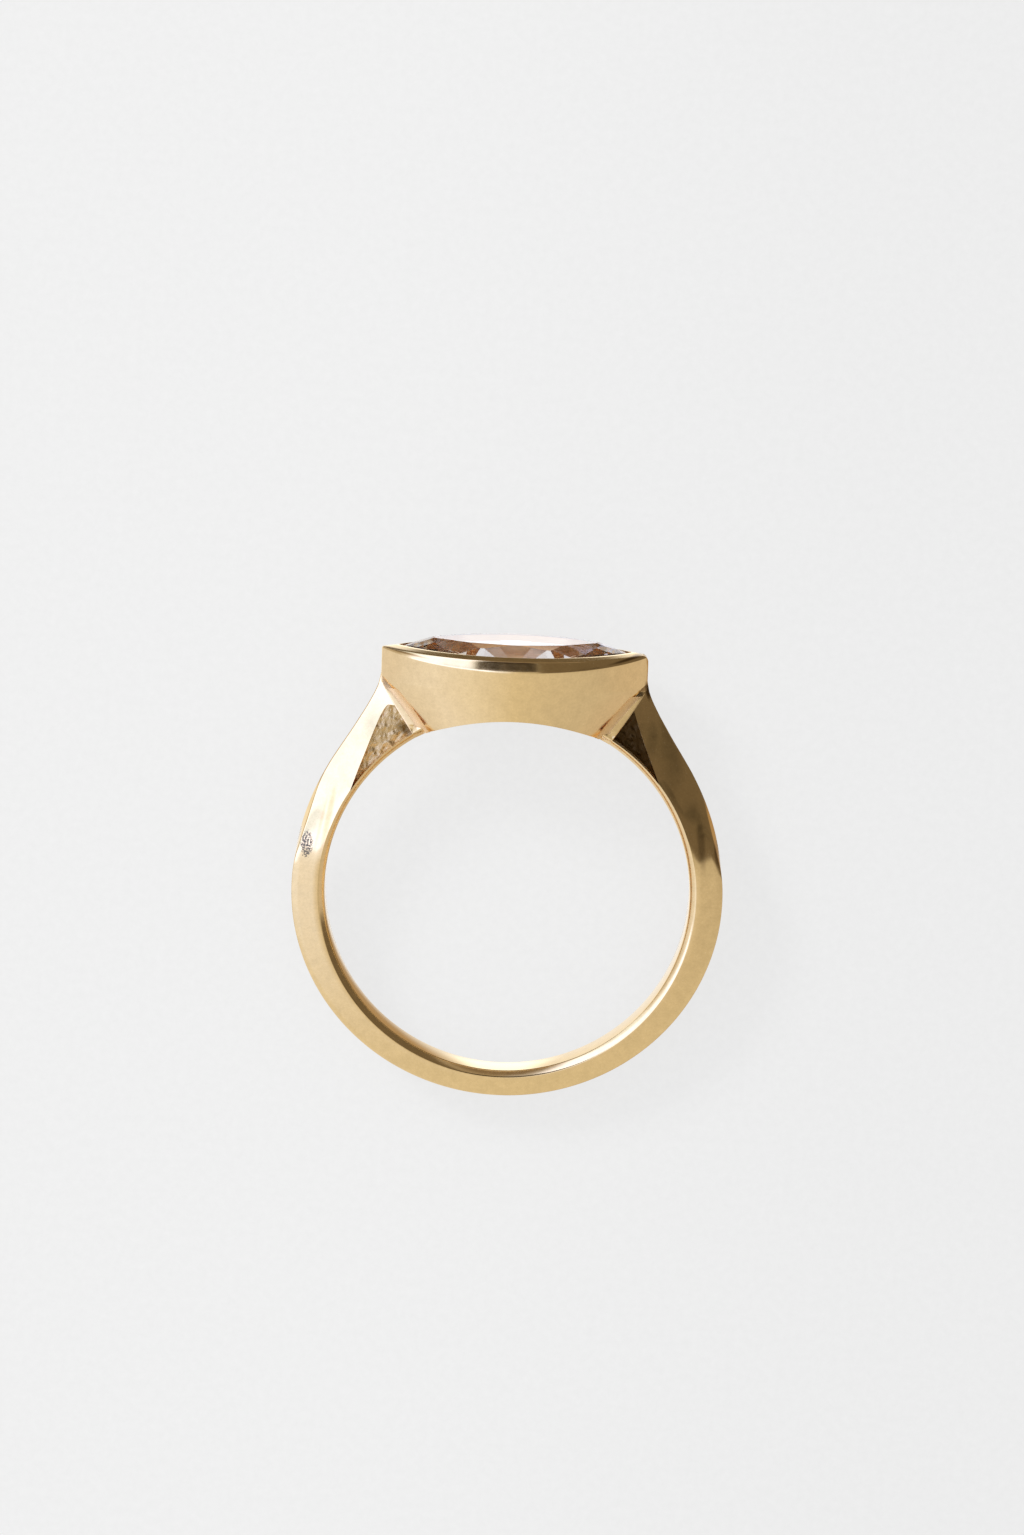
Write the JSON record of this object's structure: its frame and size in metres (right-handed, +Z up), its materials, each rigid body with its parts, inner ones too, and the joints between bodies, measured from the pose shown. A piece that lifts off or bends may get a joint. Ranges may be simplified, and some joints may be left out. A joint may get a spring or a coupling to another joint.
{
  "type": "bezel set ring",
  "caption": "Gold finger ring with knife-edged shoulders and a marquise stone set crosswise in a closed bezel with an open back.",
  "frame": {"origin": "centre of the finger hole, halfway through the band", "axes": "+Y towards the head, +Z up off the table the ring lies on, +X across the ring; the finger hole's axis leans 6.2 degrees from +Z, because the bezel props the head up"},
  "size_m": [0.0194, 0.021, 0.0063],
  "materials": {
    "gold": "satin yellow gold, polished on the facets",
    "stone": "clear colourless cut stone"
  },
  "bodies": {
    "root": {"shank_and_bezel": "gold", "stone": "stone"}
  },
  "joints": []
}
